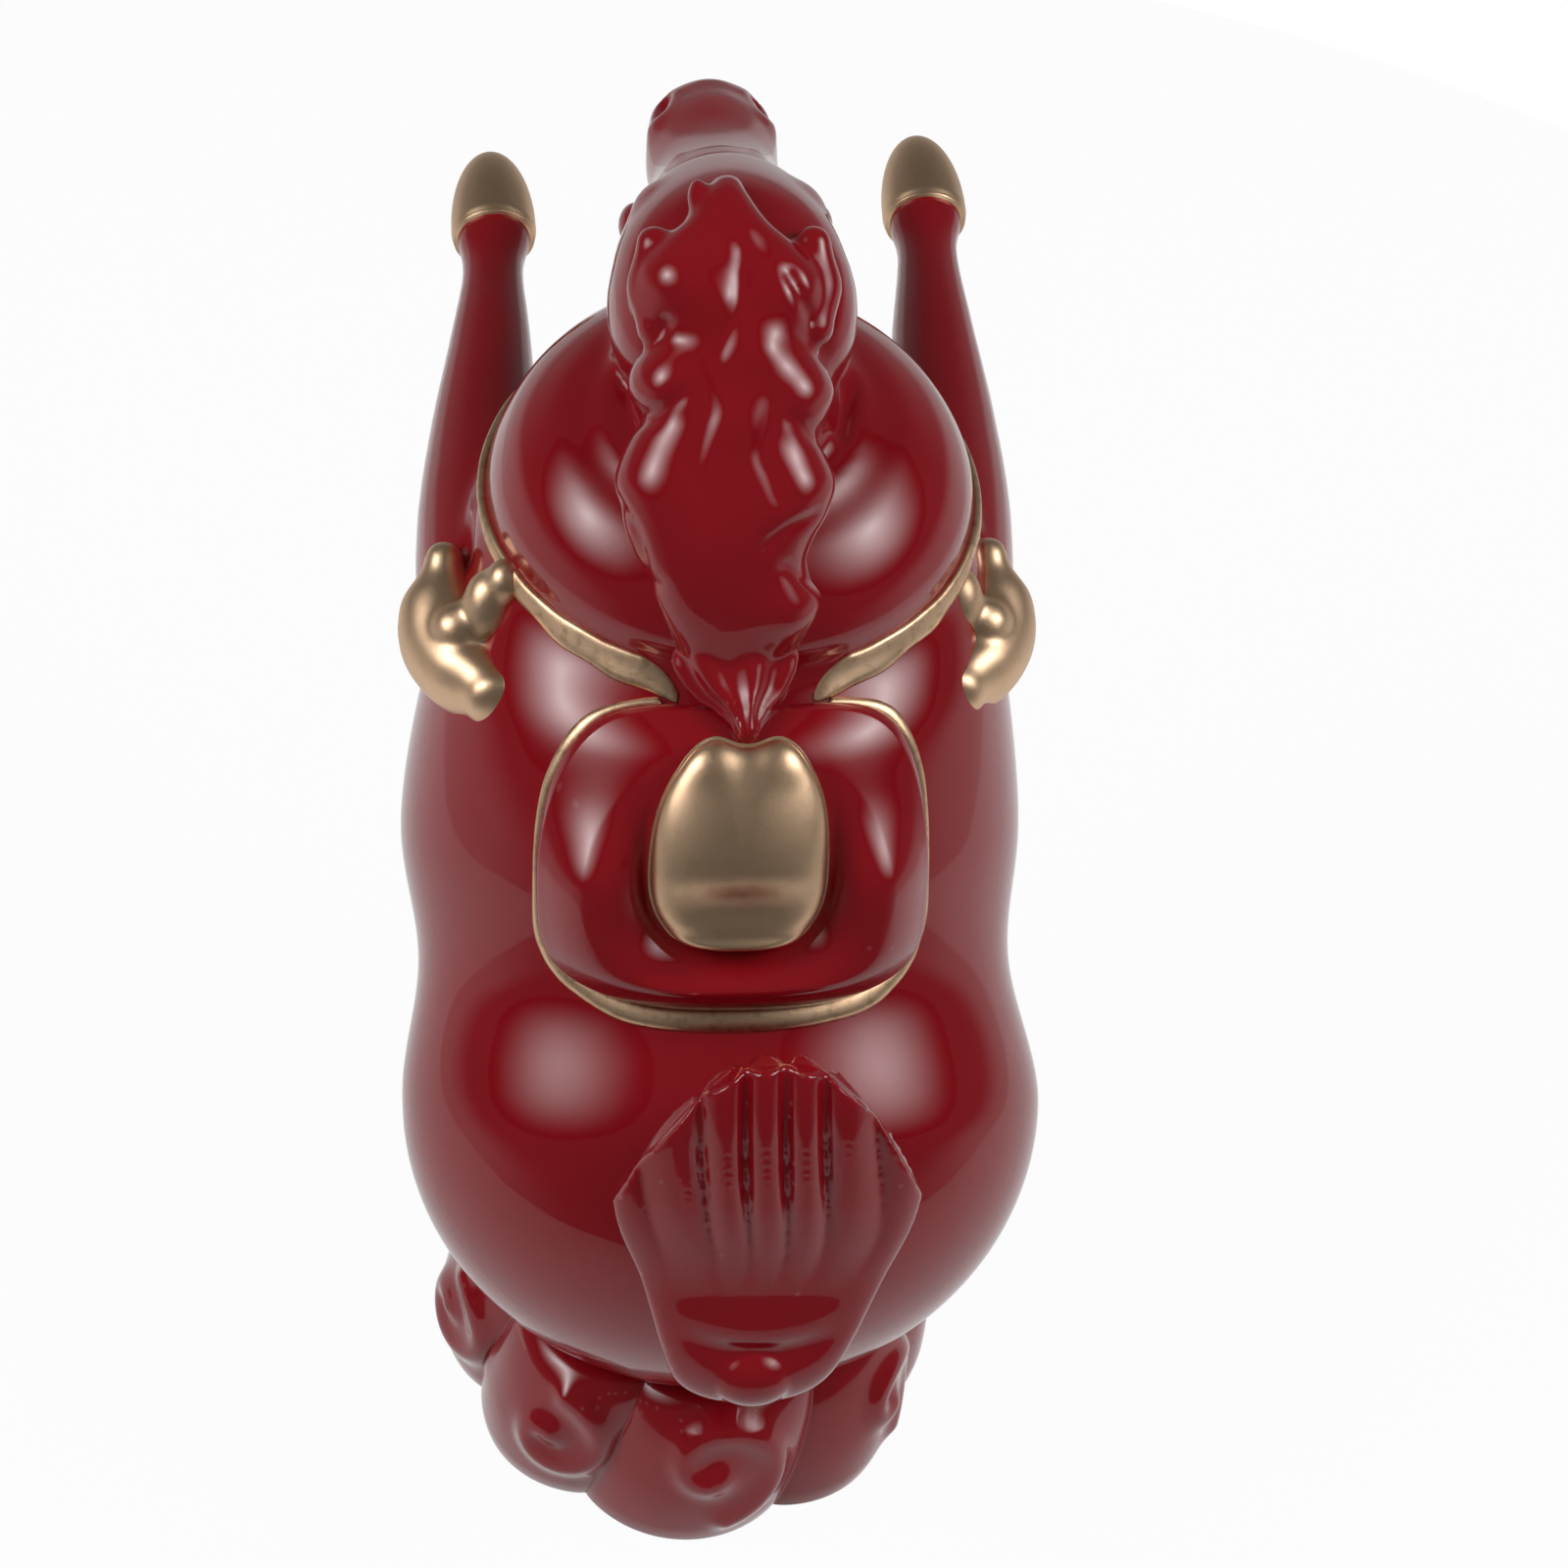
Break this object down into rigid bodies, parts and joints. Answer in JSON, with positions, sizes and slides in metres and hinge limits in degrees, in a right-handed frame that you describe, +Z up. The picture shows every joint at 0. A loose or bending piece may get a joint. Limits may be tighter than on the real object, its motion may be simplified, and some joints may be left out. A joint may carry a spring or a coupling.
{
  "type": "horse figurine",
  "caption": "Glazed ceramic figurine of a stout rearing horse on a curled cloud, deep red with gilded hooves, saddle, strap and ingots.",
  "frame": {"origin": "on the ground under the middle of the figure's bounding box", "axes": "+Z up, -Y the way the horse faces, +X the horse's left"},
  "size_m": [0.119, 0.2378, 0.2422],
  "materials": {
    "red_glaze": "glossy deep red glaze",
    "gold_lustre": "satin gold lustre fired over the glaze"
  },
  "bodies": {
    "root": {"body": "red_glaze", "cloud_base": "red_glaze", "cloud_scroll_1": "red_glaze", "cloud_scroll_2": "red_glaze", "cloud_scroll_3": "red_glaze", "cloud_scroll_4": "red_glaze", "cloud_scroll_5": "red_glaze", "cloud_scroll_6": "red_glaze", "collar_strap": "gold_lustre", "ear_left": "red_glaze", "ear_right": "red_glaze", "eye_left": "red_glaze", "eye_right": "red_glaze", "foreleg_left": "red_glaze", "foreleg_right": "red_glaze", "front_hoof_left": "gold_lustre", "front_hoof_right": "gold_lustre", "head": "red_glaze", "hind_hoof_left": "gold_lustre", "hind_hoof_right": "gold_lustre", "hind_leg_left": "red_glaze", "hind_leg_right": "red_glaze", "ingot_left": "gold_lustre", "ingot_right": "gold_lustre", "mane": "red_glaze", "neck": "red_glaze", "saddle_cloth": "red_glaze", "saddle_cloth_border": "gold_lustre", "saddle_roll": "red_glaze", "saddle_seat": "gold_lustre", "tail": "red_glaze", "withers_lock": "red_glaze"}
  },
  "joints": []
}
